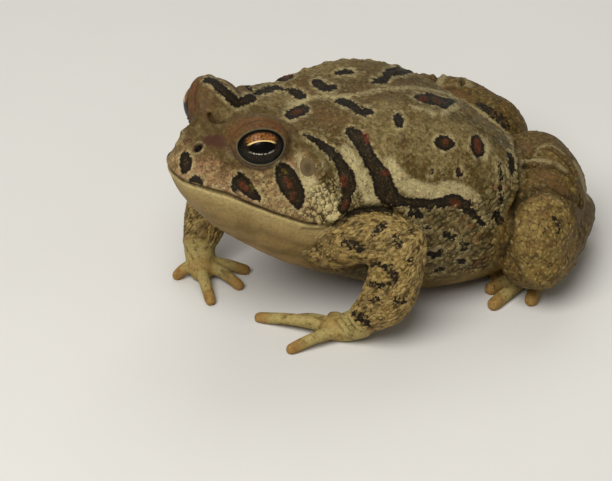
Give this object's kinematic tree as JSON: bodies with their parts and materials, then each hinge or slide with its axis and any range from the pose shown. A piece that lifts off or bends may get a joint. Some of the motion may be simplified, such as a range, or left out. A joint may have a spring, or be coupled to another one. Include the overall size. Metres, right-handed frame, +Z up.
{
  "type": "fowlers toad",
  "caption": "Life-size still model of a Fowler's toad that sits with its head raised, its belly, hands and feet on the floor.",
  "frame": {"origin": "centre of the toad's footprint box, on the floor that it sits on", "axes": "+X to the toad's left, +Y towards its rump, so that it faces -Y, and +Z up"},
  "size_m": [0.0561, 0.0726, 0.0402],
  "materials": {
    "skin": "dry, warty, satin",
    "eardrum": "smooth, satin",
    "eye": "wet, high gloss"
  },
  "bodies": {
    "root": {"head": "skin", "lower_jaw": "skin", "torso": "skin", "upper_arm_left": "skin", "forearm_left": "skin", "hand_left": "skin", "thigh_left": "skin", "shank_left": "skin", "foot_left": "skin", "upper_arm_right": "skin", "forearm_right": "skin", "hand_right": "skin", "thigh_right": "skin", "shank_right": "skin", "foot_right": "skin", "tympanum_left": "eardrum", "eye_left": "eye", "tympanum_right": "eardrum", "eye_right": "eye"}
  },
  "joints": []
}
